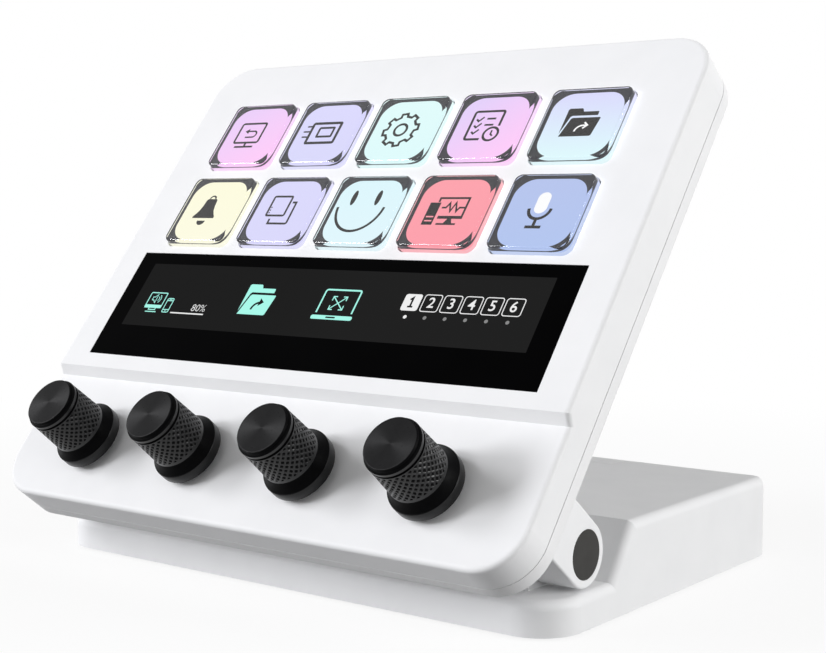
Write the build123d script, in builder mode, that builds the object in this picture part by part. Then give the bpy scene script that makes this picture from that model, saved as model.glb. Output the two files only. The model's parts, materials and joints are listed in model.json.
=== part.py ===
"""Macro keypad with knobs: a tilting head with ten clear display keys, a touch
strip and four push-and-turn knobs, hinged on a weighted wedge base.

Millimetres. Origin at the centre of the base's footprint on the desk, +X to the
user's right, +Y away from the user, +Z up. The head is modelled in its own
plane HEAD: x runs along the panel's width (u), y up the panel from its lower
edge (v), and z is the height above the knob deck (w).
"""

import os
from math import atan2, cos, degrees, radians, sin, tan

from build123d import *

os.makedirs("parts", exist_ok=True)

# ---------------------------------------------------------------- base sizes
base_depth = 87.0
base_height = 17.1
platform_height = 6.6          # low front part that the hinges stand on
step_clearance = 1.7           # foot of the sloped step behind the hinge blocks
step_run = 7.2                 # foot of the slope to its top
base_front_corner = 9.0
base_rear_corner = 3.0
base_edge_round = 1.8
base_wall = 2.4
base_plate_thickness = 2.0
base_boss_radius = 3.0
base_boss_bite = 0.4           # how far a boss runs into the wall behind it
base_boss_inset = 25.0         # boss axes from the base's sides
foot_radius = 5.5
foot_proud = 0.5               # how far the feet lift the base off the desk
foot_recess = 0.6
foot_inset = 11.0              # foot centre from the base's sides
ballast_thickness = 5.0
ballast_side_gap = 14.85       # ballast to the side walls
ballast_front_gap = 3.0        # ballast behind the step's inner wall
ballast_rear_gap = 1.9         # ballast to the rear bosses
ballast_corner = 3.0
rear_cover_width = 60.8
rear_cover_reach = 8.0         # over the top, from the rear face
rear_cover_drop = 9.0          # down the rear face
rear_cover_thickness = 1.2
rear_cover_gap = 0.2

# ---------------------------------------------------------------- head sizes
head_overhang = 1.65           # head beyond the base, at each side
head_side_border = 8.0         # head beyond the glass, at each side
head_corner = 9.5
head_edge_round = 1.0
head_back_round = 1.4
head_wall = 2.0
deck_rise = 2.15               # display deck above the knob deck
ramp_start = 29.4              # foot of the ramp between the decks, from the lower edge
ramp_run = 1.5                 # foot of the ramp to its top
lip_height = 1.5               # back shell's lip inside the front shell
lip_thickness = 0.9
seam_groove = 0.2              # fine groove round the head, between its shells
seam_groove_depth = 0.5

# ------------------------------------------------------------ hinge and tilt
tilt_angle = 51.2              # panel from the horizontal, as it stands
hinge_setback = 12.6           # hinge axis from the base's front
hinge_rise = 16.7              # hinge axis from the head's lower edge, up the panel
hinge_drop = 23.5              # hinge axis below the knob deck
hinge_radius = 6.2
arm_side_inset = 2.9           # arm's outer face from the head's side
arm_width = 8.0
arm_clearance = 0.5            # round end of the arm above the platform
block_width = 7.4
hinge_gap = 0.3                # between each arm and its block
pin_radius = 2.5
pin_head_radius = 3.8
pin_head_thickness = 1.2
bush_wall = 1.0
hinge_cap_radius = 4.6
hinge_cap_thickness = 1.2
arm_edge_round = 0.5

# ----------------------------------------------------- display and key sizes
display_width = 108.0
display_height = 64.8          # one panel lights the strip and all the keys
display_frame = 4.6            # panel outline beyond its lit area
display_thickness = 2.6
display_rim = 1.2              # rib round the panel
glass_thickness = 1.1
glass_shelf = 3.0              # shelf that the glass is bonded to
glass_side_border = 4.9        # glass beyond the lit area, at each side
glass_low_border = 7.0         # glass below the lit area
glass_to_ramp = 3.6
glass_to_caps = 2.325
key_columns = 5
key_rows = 2
key_window_corner = 4.2
window_side_margin = 1.1       # outer windows inside the lit area
window_top_margin = 1.875      # upper windows inside the lit area
window_bar = 5.45              # between two windows
cap_side_border = 0.95         # cap beyond its window, at each side
cap_end_border = 0.85          # cap beyond its window, above and below
cap_corner = 1.8
cap_draft = 4.0                # degrees
cap_edge_round = 0.35
cap_proud = 1.8                # above the display deck
cap_thickness = 2.7
cap_slack = 0.3                # cap to the sides of its opening
key_travel = 0.6
carrier_inset = 0.15           # carrier's neck inside the cap's outline
carrier_flange = 1.1           # how far the flange reaches past the neck
flange_thickness = 0.8
membrane_thickness = 0.3

# ------------------------------------------------------ knob and board sizes
knob_count = 4
knob_rise = 14.0               # knob axes from the head's lower edge
knob_float = 1.5               # skirt's underside above the knob deck
knob_height = 13.5             # skirt's underside to the shoulder under the disc
skirt_radius = 7.3
skirt_height = 2.2
flare_height = 2.1             # skirt's edge up to the grip
flare_hollow = 0.3             # how full the flare's curve is: 0.5 is straight
grip_bottom_radius = 6.0
grip_top_radius = 5.75
grip_groove = 0.25
groove_height = 0.5
crown_height = 1.0             # plain ring above the groove
crown_chamfer = 0.35
knob_hollow = 3.0              # underside hollow, from the skirt's underside
nut_clearance = 0.4            # hollow round the nut's corners
disc_radius = 5.35
disc_thickness = 0.6
disc_edge_round = 0.15
knob_push = 0.5
shaft_radius = 3.0
shaft_flat = 1.5               # flat of the D from the shaft's axis
shaft_reach = 12.6             # shaft's top above the knob deck
flange_radius = 3.7
shaft_flange = 0.6
bushing_wall = 0.45
bushing_reach = 3.2            # bushing's top above the knob deck
nut_across_flats = 9.0
nut_thickness = 1.9
nut_flange_radius = 4.9
nut_flange_thickness = 0.3
encoder_width = 12.0
encoder_height = 4.5
encoder_floor = 0.6
plunger_thickness = 0.6
board_thickness = 1.6
board_margin = 0.3             # board to the back shell's lip, up and down
board_clearance = 0.3          # board above the back shell's floor

# ------------------------------------------------ connector and screw sizes
socket_width = 8.94
socket_height = 3.2
socket_length = 6.6
socket_wall = 0.3
socket_gap = 0.4               # socket's back to the rib round the panel
socket_recess = 0.4            # socket's mouth below the head's upper edge
socket_slack = 0.4             # round the socket in the shell's notch
tongue_width = 6.6
tongue_thickness = 0.7
tongue_length = 4.6
screw_radius = 1.0
screw_head_radius = 1.9
screw_head_height = 1.3
screw_socket = 0.85            # hexagonal socket, centre to corner
screw_socket_depth = 0.7
screw_length = 6.2
base_screw_length = 4.0
arm_screw_length = 7.0
arm_screw_pitch = 6.4
block_screw_pitch = 6.4
boss_radius = 2.0
boss_side_inset = 13.4         # corner bosses from the head's sides
pad_radius = 2.4               # back shell's pads under the bosses
head_sink = 0.1                # screw heads below the surface round them

# ------------------------------------------------------------------ fits
fit_gap = 0.1                  # between pieces that are fixed together
move_gap = 0.3                 # between pieces that move apart
hole_slack = 0.1               # a screw in its hole
run_gap = 0.05                 # a shaft in its bore
press_gap = 0.02               # a bush or pin pressed home
overcut = 1.0                  # how far a cut's outline passes what it cuts
tiny = 0.01                    # room for rounding where edges are picked


# --------------------------------------------------- sizes that follow others
key_pitch = (display_width - 2 * window_side_margin + window_bar) / key_columns
key_window = key_pitch - window_bar
cap_width = key_window + 2 * cap_side_border
cap_height = key_window + 2 * cap_end_border
knob_span = (key_columns - 1) * key_pitch        # outer knobs below the outer keys
row_span = (key_rows - 1) * key_pitch

ramp_end = ramp_start + ramp_run
glass_start = ramp_end + glass_to_ramp
display_start = glass_start + glass_low_border
display_end = display_start + display_height
key_middle = display_end - window_top_margin - (key_window + row_span) / 2
glass_end = key_middle - (row_span + cap_height) / 2 - glass_to_caps
glass_height = glass_end - glass_start
glass_width = display_width + 2 * glass_side_border
rib_outset = display_frame + fit_gap + display_rim      # rib's outside beyond the lit area

head_width = glass_width + 2 * head_side_border
head_length = display_end + rib_outset + socket_gap + socket_length + socket_recess
seam_depth = head_wall + encoder_height          # knob deck down to the shells' seam
head_depth = seam_depth + board_thickness + board_clearance + head_wall
lip_inset = head_wall + fit_gap
boss_inset = lip_inset + lip_thickness + fit_gap + boss_radius

base_width = head_width - 2 * head_overhang
hinge_height = platform_height + arm_clearance + hinge_radius
arm_outer_face = head_width / 2 - arm_side_inset
step_start = hinge_setback + hinge_radius + step_clearance
step_end = step_start + step_run
bushing_radius = shaft_radius + run_gap + bushing_wall
hollow_radius = nut_across_flats / 2 / cos(radians(30)) + nut_clearance

# --------------------------------------------------------------- the planes
hinge_y = -base_depth / 2 + hinge_setback
hinge_z = foot_proud + hinge_height
tilt = radians(tilt_angle)
HEAD = Plane(
    origin=(
        0,
        hinge_y - hinge_rise * cos(tilt) - hinge_drop * sin(tilt),
        hinge_z - hinge_rise * sin(tilt) + hinge_drop * cos(tilt),
    ),
    x_dir=(1, 0, 0),
    z_dir=(0, -sin(tilt), cos(tilt)),
)
HEAD_SIDE = Plane(origin=HEAD.origin, x_dir=HEAD.y_dir, z_dir=HEAD.x_dir)
BASE = Plane.XY.offset(foot_proud)
HINGE = Plane(origin=(0, hinge_y, hinge_z), x_dir=(0, 1, 0), z_dir=(1, 0, 0))
OUTWARD = Axis(HEAD.origin, HEAD.z_dir)


def spin_plane(u, v):
    """Plane through an axis square to the panel: x is a radius, y the height."""
    return Plane(origin=HEAD.from_local_coords((u, v, 0)), x_dir=HEAD.x_dir, z_dir=-HEAD.y_dir)


# ---------------------------------------------------------- shared positions
deck_under = deck_rise - head_wall               # inner face of the display deck
knob_deck_under = -head_wall
back_inside = -head_depth + head_wall            # inner face of the back shell's floor
board_top = knob_deck_under - encoder_height
board_bottom = board_top - board_thickness
cap_top = deck_rise + cap_proud
cap_bottom = cap_top - cap_thickness
flange_top = deck_under - move_gap
flange_bottom = flange_top - flange_thickness
membrane_top = flange_bottom - key_travel - move_gap
display_top = membrane_top - membrane_thickness
display_bottom = display_top - display_thickness
display_middle = display_start + display_height / 2
panel_width = display_width + 2 * display_frame
panel_height = display_height + 2 * display_frame
glass_middle = glass_start + glass_height / 2

key_centres = [
    ((column - (key_columns - 1) / 2) * key_pitch, key_middle + ((key_rows - 1) / 2 - row) * key_pitch)
    for row in range(key_rows)
    for column in range(key_columns)
]
knob_centres = [
    ((n / (knob_count - 1) - 1 / 2) * knob_span, knob_rise) for n in range(knob_count)
]
corner_boss_u = head_width / 2 - boss_side_inset
board_half_width = corner_boss_u - pad_radius - fit_gap
knob_pitch = knob_span / (knob_count - 1)
low_bosses = [(side * u, boss_inset) for side in (-1, 1) for u in (knob_pitch, corner_boss_u)]
high_bosses = [
    (side * u, head_length - boss_inset) for side in (-1, 1) for u in (key_pitch, corner_boss_u)
]
board_bosses = [point for point in low_bosses + high_bosses if abs(point[0]) < board_half_width]
shell_bosses = low_bosses + high_bosses
arm_middle = arm_outer_face - arm_width / 2
block_outer_face = arm_outer_face - arm_width - hinge_gap
block_middle = block_outer_face - block_width / 2
arm_screws = [
    (side * arm_middle, hinge_rise + end * arm_screw_pitch / 2) for side in (-1, 1) for end in (-1, 1)
]
block_screws = [
    (side * block_middle, hinge_y + end * block_screw_pitch / 2) for side in (-1, 1) for end in (-1, 1)
]
corner_bosses = [point for point in shell_bosses if point not in board_bosses]
neck_width = cap_width - 2 * carrier_inset
neck_height = cap_height - 2 * carrier_inset
neck_corner = cap_corner - carrier_inset
skirt_top = knob_float + skirt_height
knob_top = knob_float + knob_height
hollow_top = knob_float + knob_hollow
flare_middle = (
    grip_bottom_radius + flare_hollow * (skirt_radius - grip_bottom_radius),
    skirt_top + flare_hollow * flare_height,
)
cavity_bottom = board_top + encoder_floor
plunger_bottom = cavity_bottom + move_gap + knob_push
shaft_bottom = plunger_bottom + plunger_thickness + run_gap
cavity_top = shaft_bottom + shaft_flange + move_gap
SOCKET_BACK = Plane(
    origin=HEAD.from_local_coords(
        (0, head_length - socket_recess - socket_length, board_top + socket_height / 2)
    ),
    x_dir=HEAD.x_dir,
    z_dir=HEAD.y_dir,
)
bush_radius = pin_radius + run_gap + bush_wall
pin_outer_end = arm_outer_face - hinge_cap_thickness
step_angle = degrees(atan2(base_height - platform_height, step_end - step_start))
base_top = foot_proud + base_height
base_rear = base_depth / 2
cover_front = base_rear - rear_cover_reach
cover_low = base_top - rear_cover_drop
plate_screw_seat = screw_head_height + head_sink
ballast_front = step_end + base_wall + ballast_front_gap - base_depth / 2
foot_centres = [
    (side * (base_width / 2 - foot_inset), end * (base_depth / 2 - foot_inset))
    for side in (-1, 1)
    for end in (-1, 1)
]
base_boss_u = base_width / 2 - base_boss_inset
base_boss_v = base_depth / 2 - base_wall - base_boss_radius + base_boss_bite
front_bosses = [(side * base_boss_u, -base_boss_v) for side in (-1, 1)]
rear_bosses = [(side * base_boss_u, base_boss_v) for side in (-1, 1)]
base_bosses = front_bosses + rear_bosses
ballast_rear = base_boss_v - base_boss_radius - ballast_rear_gap
ballast_width = base_width - 2 * (base_wall + ballast_side_gap)


# -------------------------------------------------------------- head shells
def head_outline(inset, mode=Mode.ADD):
    """Rounded outline of the head, moved in by inset."""
    with Locations((0, head_length / 2)):
        RectangleRounded(head_width - 2 * inset, head_length - 2 * inset, head_corner - inset, mode=mode)


def is_front_rim(edge):
    """True for the edges that run round the front face, not across its ramp."""
    ends = [HEAD.to_local_coords(point) for point in (edge @ 0, edge @ 1)]
    on_ramp = all(ramp_start - tiny < end.Y < ramp_end + tiny for end in ends)
    across = on_ramp and abs(ends[0].X - ends[1].X) > tiny
    return min(end.Z for end in ends) > -tiny and not across


with BuildPart() as front_shell:
    with BuildSketch(HEAD.offset(-seam_depth)):
        head_outline(0)
    extrude(amount=seam_depth + deck_rise)
    with BuildSketch(HEAD_SIDE):
        with BuildLine():
            Polyline(
                (-overcut, 0),
                (ramp_start, 0),
                (ramp_end, deck_rise),
                (ramp_end, deck_rise + overcut),
                (-overcut, deck_rise + overcut),
                close=True,
            )
        make_face()
    extrude(amount=head_width, both=True, mode=Mode.SUBTRACT)
    fillet(front_shell.edges().filter_by(is_front_rim), head_edge_round)

    # hollow behind the knob deck, then the deeper hollow behind the display deck
    with BuildSketch(HEAD.offset(-seam_depth)):
        head_outline(head_wall)
    extrude(amount=seam_depth + knob_deck_under, mode=Mode.SUBTRACT)
    with BuildSketch(HEAD.offset(knob_deck_under)):
        head_outline(head_wall)
        with Locations((0, (ramp_end + head_wall) / 2)):
            Rectangle(head_width, ramp_end + head_wall, mode=Mode.SUBTRACT)
    extrude(amount=deck_under - knob_deck_under, mode=Mode.SUBTRACT)

    # rib that locates the display panel
    with BuildSketch(HEAD.offset(display_bottom)):
        with Locations((0, display_middle)):
            Rectangle(display_width + 2 * rib_outset, display_height + 2 * rib_outset)
            Rectangle(panel_width + 2 * fit_gap, panel_height + 2 * fit_gap, mode=Mode.SUBTRACT)
    extrude(amount=deck_under - display_bottom)

    # screw bosses
    with BuildSketch(HEAD.offset(-seam_depth)):
        with Locations(low_bosses):
            Circle(boss_radius)
    extrude(amount=seam_depth + knob_deck_under)
    with BuildSketch(HEAD.offset(-seam_depth)):
        with Locations(high_bosses):
            Circle(boss_radius)
    extrude(amount=seam_depth + deck_under)
    with BuildSketch(HEAD.offset(-seam_depth)):
        with Locations(shell_bosses):
            Circle(screw_radius + hole_slack)
    extrude(amount=seam_depth + knob_deck_under, mode=Mode.SUBTRACT)

    # pocket and window for the touch strip's glass
    with BuildSketch(HEAD.offset(deck_rise)):
        with Locations((0, glass_middle)):
            Rectangle(glass_width + 2 * fit_gap, glass_height + 2 * fit_gap)
    extrude(amount=-glass_thickness, mode=Mode.SUBTRACT)
    with BuildSketch(HEAD.offset(deck_rise)):
        with Locations((0, glass_middle)):
            Rectangle(glass_width - 2 * glass_shelf, glass_height - 2 * glass_shelf)
    extrude(amount=-head_wall, mode=Mode.SUBTRACT)

    # key openings and knob holes
    with BuildSketch(HEAD.offset(deck_rise)):
        with Locations(key_centres):
            RectangleRounded(cap_width + 2 * cap_slack, cap_height + 2 * cap_slack, cap_corner + cap_slack)
    extrude(amount=-head_wall, mode=Mode.SUBTRACT)
    with BuildSketch(HEAD):
        with Locations(knob_centres):
            Circle(bushing_radius + fit_gap)
    extrude(amount=-head_wall, mode=Mode.SUBTRACT)

    # notch for the socket in the upper wall, open at the seam
    with BuildSketch(SOCKET_BACK):
        SlotOverall(socket_width + 2 * socket_slack, socket_height + 2 * socket_slack)
    extrude(amount=socket_length + socket_recess, mode=Mode.SUBTRACT)
front_shell.part.label = "front_shell"
export_step(front_shell.part, "parts/front_shell.step")

with BuildPart() as back_shell:
    with BuildSketch(HEAD.offset(-head_depth)):
        head_outline(0)
    extrude(amount=head_depth - seam_depth)
    fillet(back_shell.faces().sort_by(OUTWARD)[0].edges(), head_back_round)
    with BuildSketch(HEAD.offset(-seam_depth)):
        head_outline(0)
        head_outline(seam_groove_depth, Mode.SUBTRACT)
    extrude(amount=-seam_groove, mode=Mode.SUBTRACT)
    with BuildSketch(HEAD.offset(back_inside)):
        head_outline(lip_inset + lip_thickness)
    extrude(amount=-seam_depth - back_inside, mode=Mode.SUBTRACT)

    # lip that fits inside the front shell, broken where the socket comes out
    with BuildSketch(HEAD.offset(-seam_depth)):
        head_outline(lip_inset)
        head_outline(lip_inset + lip_thickness, Mode.SUBTRACT)
        with Locations((0, head_length - lip_inset - lip_thickness / 2)):
            Rectangle(socket_width + 2 * socket_slack, 2 * lip_thickness, mode=Mode.SUBTRACT)
    extrude(amount=lip_height)

    # posts under the corner bosses, pads under the board, and the screw holes
    with BuildSketch(HEAD.offset(back_inside)):
        with Locations(corner_bosses):
            Circle(pad_radius)
    extrude(amount=-seam_depth - back_inside)
    with BuildSketch(HEAD.offset(back_inside)):
        with Locations(board_bosses):
            Circle(pad_radius)
    extrude(amount=board_bottom - back_inside)
    with BuildSketch(HEAD.offset(-head_depth)):
        with Locations(shell_bosses + arm_screws):
            Circle(screw_radius + hole_slack)
    extrude(amount=head_depth, mode=Mode.SUBTRACT)
    with BuildSketch(HEAD.offset(-head_depth)):
        with Locations(shell_bosses):
            Circle(screw_head_radius + hole_slack)
    extrude(amount=screw_head_height + head_sink, mode=Mode.SUBTRACT)
back_shell.part.label = "back_shell"
export_step(back_shell.part, "parts/back_shell.step")


# ------------------------------------------------- display, board and socket
with BuildPart() as screen_glass:
    with BuildSketch(HEAD.offset(deck_rise)):
        with Locations((0, glass_middle)):
            Rectangle(glass_width, glass_height)
    extrude(amount=-glass_thickness)
screen_glass.part.label = "screen_glass"
export_step(screen_glass.part, "parts/screen_glass.step")

with BuildPart() as lcd_panel:
    with BuildSketch(HEAD.offset(display_bottom)):
        with Locations((0, display_middle)):
            Rectangle(panel_width, panel_height)
    extrude(amount=display_thickness)
lcd_panel.part.label = "lcd_panel"
export_step(lcd_panel.part, "parts/lcd_panel.step")

with BuildPart() as key_membrane:
    with BuildSketch(HEAD.offset(display_top)):
        with Locations((0, key_middle)):
            Rectangle(key_columns * key_pitch, key_rows * key_pitch)
        with Locations(key_centres):
            RectangleRounded(key_window, key_window, key_window_corner, mode=Mode.SUBTRACT)
    extrude(amount=membrane_thickness)
key_membrane.part.label = "key_membrane"
export_step(key_membrane.part, "parts/key_membrane.step")

with BuildPart() as main_board:
    with BuildSketch(HEAD.offset(board_bottom)):
        with Locations((0, head_length / 2)):
            Rectangle(2 * board_half_width, head_length - 2 * (lip_inset + lip_thickness + board_margin))
        with Locations(board_bosses):
            Circle(screw_radius + hole_slack, mode=Mode.SUBTRACT)
    extrude(amount=board_thickness)
main_board.part.label = "main_board"
export_step(main_board.part, "parts/main_board.step")

with BuildPart() as usb_socket:
    with BuildSketch(SOCKET_BACK):
        SlotOverall(socket_width, socket_height)
    extrude(amount=socket_length)
    with BuildSketch(SOCKET_BACK.offset(socket_wall)):
        SlotOverall(socket_width - 2 * socket_wall, socket_height - 2 * socket_wall)
    extrude(amount=socket_length - socket_wall, mode=Mode.SUBTRACT)
    with BuildSketch(SOCKET_BACK):
        Rectangle(tongue_width, tongue_thickness)
    extrude(amount=tongue_length + socket_wall)
usb_socket.part.label = "usb_socket"
export_step(usb_socket.part, "parts/usb_socket.step")


# --------------------------------------------------------------------- keys
for number, centre in enumerate(key_centres, start=1):
    with BuildPart() as key_cap:
        with BuildSketch(HEAD.offset(cap_bottom)):
            with Locations(centre):
                RectangleRounded(cap_width, cap_height, cap_corner)
        extrude(amount=cap_thickness, taper=cap_draft)
        fillet(key_cap.faces().sort_by(OUTWARD)[-1].edges(), cap_edge_round)
    key_cap.part.label = f"key_cap_{number}"
    export_step(key_cap.part, f"parts/key_cap_{number}.step")

    with BuildPart() as key_carrier:
        with BuildSketch(HEAD.offset(flange_bottom)):
            with Locations(centre):
                RectangleRounded(
                    neck_width + 2 * carrier_flange, neck_height + 2 * carrier_flange, neck_corner
                )
        extrude(amount=flange_thickness)
        with BuildSketch(HEAD.offset(flange_bottom)):
            with Locations(centre):
                RectangleRounded(neck_width, neck_height, neck_corner)
        extrude(amount=cap_bottom - flange_bottom)
        with BuildSketch(HEAD.offset(flange_bottom)):
            with Locations(centre):
                RectangleRounded(key_window, key_window, key_window_corner)
        extrude(amount=cap_bottom - flange_bottom, mode=Mode.SUBTRACT)
    key_carrier.part.label = f"key_carrier_{number}"
    export_step(key_carrier.part, f"parts/key_carrier_{number}.step")


# ------------------------------------------------------- encoders and knobs
with BuildPart() as encoder_bodies:
    with BuildSketch(HEAD.offset(board_top)):
        with Locations(knob_centres):
            Rectangle(encoder_width, encoder_width)
    extrude(amount=encoder_height)
    with BuildSketch(HEAD.offset(board_top)):
        with Locations(knob_centres):
            Circle(bushing_radius)
    extrude(amount=bushing_reach - board_top)
    with BuildSketch(HEAD.offset(cavity_bottom)):
        with Locations(knob_centres):
            Circle(shaft_radius + run_gap)
    extrude(amount=bushing_reach - cavity_bottom, mode=Mode.SUBTRACT)
    with BuildSketch(HEAD.offset(cavity_bottom)):
        with Locations(knob_centres):
            Circle(flange_radius + move_gap)
    extrude(amount=cavity_top - cavity_bottom, mode=Mode.SUBTRACT)
encoder_bodies.part.label = "encoder_bodies"
export_step(encoder_bodies.part, "parts/encoder_bodies.step")

with BuildPart() as encoder_nuts:
    with BuildSketch(HEAD):
        with Locations(knob_centres):
            Circle(nut_flange_radius)
            Circle(bushing_radius + run_gap, mode=Mode.SUBTRACT)
    extrude(amount=nut_flange_thickness)
    with BuildSketch(HEAD.offset(nut_flange_thickness)):
        with Locations(knob_centres):
            RegularPolygon(nut_across_flats / 2, 6, major_radius=False)
            Circle(bushing_radius + run_gap, mode=Mode.SUBTRACT)
    extrude(amount=nut_thickness)
encoder_nuts.part.label = "encoder_nuts"
export_step(encoder_nuts.part, "parts/encoder_nuts.step")

for number, centre in enumerate(knob_centres, start=1):
    with BuildPart() as switch_plunger:
        with BuildSketch(HEAD.offset(plunger_bottom)):
            with Locations(centre):
                Circle(flange_radius)
        extrude(amount=plunger_thickness)
    switch_plunger.part.label = f"switch_plunger_{number}"
    export_step(switch_plunger.part, f"parts/switch_plunger_{number}.step")

    with BuildPart() as encoder_shaft:
        with BuildSketch(HEAD.offset(shaft_bottom)):
            with Locations(centre):
                Circle(flange_radius)
        extrude(amount=shaft_flange)
        with BuildSketch(HEAD.offset(shaft_bottom)):
            with Locations(centre):
                Circle(shaft_radius)
        extrude(amount=shaft_reach - shaft_bottom)
        with BuildSketch(HEAD.offset(hollow_top)):
            with Locations((centre[0], centre[1] + shaft_flat + shaft_radius)):
                Rectangle(2 * shaft_radius, 2 * shaft_radius)
        extrude(amount=shaft_reach - hollow_top, mode=Mode.SUBTRACT)
    encoder_shaft.part.label = f"encoder_shaft_{number}"
    export_step(encoder_shaft.part, f"parts/encoder_shaft_{number}.step")

    knob_plane = spin_plane(*centre)
    with BuildPart() as knob:
        with BuildSketch(knob_plane):
            with BuildLine():
                grip_base = (grip_bottom_radius, skirt_top + flare_height)
                grip_end = (grip_top_radius, knob_top - crown_height - groove_height)
                Line((0, knob_float), (skirt_radius, knob_float))
                Line((skirt_radius, knob_float), (skirt_radius, skirt_top))
                ThreePointArc((skirt_radius, skirt_top), flare_middle, grip_base)
                Polyline(
                    grip_base,
                    grip_end,
                    (grip_top_radius - grip_groove, knob_top - crown_height - groove_height),
                    (grip_top_radius - grip_groove, knob_top - crown_height),
                    (grip_top_radius, knob_top - crown_height),
                    (grip_top_radius, knob_top - crown_chamfer),
                    (grip_top_radius - crown_chamfer, knob_top),
                    (0, knob_top),
                    (0, knob_float),
                )
            make_face()
        revolve(axis=Axis(knob_plane.origin, knob_plane.y_dir))
        with BuildSketch(HEAD.offset(knob_float)):
            with Locations(centre):
                Circle(hollow_radius)
        extrude(amount=knob_hollow, mode=Mode.SUBTRACT)
        with BuildSketch(HEAD.offset(hollow_top)):
            with Locations(centre):
                Circle(shaft_radius + run_gap)
            with Locations((centre[0], centre[1] + shaft_flat + run_gap + shaft_radius)):
                Rectangle(4 * shaft_radius, 2 * shaft_radius, mode=Mode.SUBTRACT)
        extrude(amount=shaft_reach + fit_gap - hollow_top, mode=Mode.SUBTRACT)
    knob.part.label = f"knob_{number}"
    export_step(knob.part, f"parts/knob_{number}.step")

    with BuildPart() as knob_disc:
        with BuildSketch(HEAD.offset(knob_top)):
            with Locations(centre):
                Circle(disc_radius)
        extrude(amount=disc_thickness)
        fillet(knob_disc.faces().sort_by(OUTWARD)[-1].edges(), disc_edge_round)
    knob_disc.part.label = f"knob_disc_{number}"
    export_step(knob_disc.part, f"parts/knob_disc_{number}.step")


# ------------------------------------------------------------------- hinges
for side, name in ((-1, "left"), (1, "right")):
    with BuildPart() as hinge_arm:
        with BuildSketch(HEAD_SIDE.offset(side * (arm_outer_face - arm_width))):
            with Locations((hinge_rise, -hinge_drop)):
                Circle(hinge_radius)
            with Locations((hinge_rise, -(head_depth + hinge_drop) / 2)):
                Rectangle(2 * hinge_radius, hinge_drop - head_depth)
        extrude(amount=side * arm_width)
        fillet(hinge_arm.faces().sort_by(Axis.X)[-1 if side > 0 else 0].edges(), arm_edge_round)
        with BuildSketch(HEAD_SIDE.offset(side * arm_outer_face)):
            with Locations((hinge_rise, -hinge_drop)):
                Circle(hinge_cap_radius + run_gap)
        extrude(amount=-side * hinge_cap_thickness, mode=Mode.SUBTRACT)
        with BuildSketch(HEAD_SIDE.offset(side * arm_outer_face)):
            with Locations((hinge_rise, -hinge_drop)):
                Circle(pin_head_radius + run_gap)
        extrude(amount=-side * (hinge_cap_thickness + pin_head_thickness), mode=Mode.SUBTRACT)
        with BuildSketch(HEAD_SIDE.offset(side * arm_outer_face)):
            with Locations((hinge_rise, -hinge_drop)):
                Circle(pin_radius + press_gap)
        extrude(amount=-side * arm_width, mode=Mode.SUBTRACT)
        with BuildSketch(HEAD.offset(-head_depth)):
            with Locations([point for point in arm_screws if point[0] * side > 0]):
                Circle(screw_radius + hole_slack)
        extrude(amount=-(arm_screw_length - head_wall + hole_slack), mode=Mode.SUBTRACT)
    hinge_arm.part.label = f"hinge_arm_{name}"
    export_step(hinge_arm.part, f"parts/hinge_arm_{name}.step")

    with BuildPart() as hinge_cap:
        with BuildSketch(HEAD_SIDE.offset(side * arm_outer_face)):
            with Locations((hinge_rise, -hinge_drop)):
                Circle(hinge_cap_radius)
        extrude(amount=-side * hinge_cap_thickness)
    hinge_cap.part.label = f"hinge_cap_{name}"
    export_step(hinge_cap.part, f"parts/hinge_cap_{name}.step")

    with BuildPart() as hinge_block:
        with BuildSketch(HINGE.offset(side * (block_outer_face - block_width))):
            Circle(hinge_radius)
            with Locations((0, -(hinge_height - platform_height) / 2)):
                Rectangle(2 * hinge_radius, hinge_height - platform_height)
            Circle(bush_radius + press_gap, mode=Mode.SUBTRACT)
        extrude(amount=side * block_width)
        with BuildSketch(BASE.offset(platform_height)):
            with Locations([point for point in block_screws if point[0] * side > 0]):
                Circle(screw_radius + hole_slack)
        extrude(amount=base_screw_length - base_wall + hole_slack, mode=Mode.SUBTRACT)
    hinge_block.part.label = f"hinge_block_{name}"
    export_step(hinge_block.part, f"parts/hinge_block_{name}.step")

with BuildPart() as friction_bushes:
    for side in (-1, 1):
        with BuildSketch(HINGE.offset(side * (block_outer_face - block_width))):
            Circle(bush_radius)
            Circle(pin_radius + run_gap, mode=Mode.SUBTRACT)
        extrude(amount=side * block_width)
friction_bushes.part.label = "friction_bushes"
export_step(friction_bushes.part, "parts/friction_bushes.step")

with BuildPart() as hinge_pins:
    for side in (-1, 1):
        with BuildSketch(HINGE.offset(side * pin_outer_end)):
            Circle(pin_head_radius)
        extrude(amount=-side * pin_head_thickness)
        with BuildSketch(HINGE.offset(side * pin_outer_end)):
            Circle(pin_radius)
        extrude(amount=-side * (pin_outer_end - block_outer_face + block_width))
hinge_pins.part.label = "hinge_pins"
export_step(hinge_pins.part, "parts/hinge_pins.step")


# --------------------------------------------------------------------- base
def base_outline(inset):
    """Sketch of the base's outline, moved in by inset."""
    with BuildSketch() as outline:
        Rectangle(base_width - 2 * inset, base_depth - 2 * inset)
        fillet(outline.vertices().group_by(Axis.Y)[0], base_front_corner - inset)
        fillet(outline.vertices().group_by(Axis.Y)[-1], base_rear_corner - inset)
    return outline.sketch


def above_step(inset):
    """Side view of what lies above the platform and the slope, moved in by inset."""
    shift = inset * tan(radians(step_angle) / 2)
    foot = step_start - base_depth / 2 + shift
    top = step_end - base_depth / 2 + shift
    low = foot_proud + platform_height - inset
    high = base_top - inset
    front = -base_depth / 2 - overcut
    clear = base_top + overcut
    with BuildSketch() as region:
        with BuildLine():
            Polyline((front, low), (foot, low), (top, high), (top, clear), (front, clear), close=True)
        make_face()
    return region.sketch


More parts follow.
